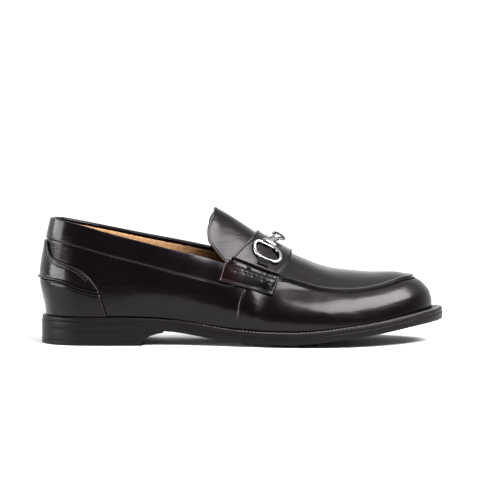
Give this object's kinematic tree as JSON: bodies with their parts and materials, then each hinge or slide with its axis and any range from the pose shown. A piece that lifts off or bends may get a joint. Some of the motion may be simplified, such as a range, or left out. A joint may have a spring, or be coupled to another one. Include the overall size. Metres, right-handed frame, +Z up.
{
  "type": "bit loafer",
  "caption": "Right dress loafer with a raised apron seam, high tongue, saddle strap with a metal snaffle bit, open collar, leather sole and low heel.",
  "frame": {"origin": "on the floor, under the middle of the shoe's length and ball width", "axes": "+X towards the toe, -Y towards the outer side of the foot, +Z up"},
  "size_m": [0.303, 0.1076, 0.1005],
  "materials": {
    "upper_leather": "brushed high gloss",
    "strap_leather": "brushed high gloss, burgundy tint",
    "lining_leather": "plain tan lining",
    "sole_leather": "satin black edge",
    "heel_rubber": "matt",
    "bit_metal": "polished silver"
  },
  "bodies": {
    "root": {"outsole": "sole_leather", "welt": "sole_leather", "heel": "sole_leather", "heel_lift": "heel_rubber", "insole": "lining_leather", "upper": "upper_leather", "tongue": "upper_leather", "saddle_strap": "upper_leather", "strap_end_lateral": "strap_leather", "strap_end_medial": "strap_leather", "counter_upper": "upper_leather", "counter_lower": "upper_leather", "bit_ring_lateral": "bit_metal", "bit_ring_medial": "bit_metal", "bit_bar": "bit_metal", "bit_tab_lateral": "upper_leather", "bit_tab_medial": "upper_leather"}
  },
  "joints": []
}
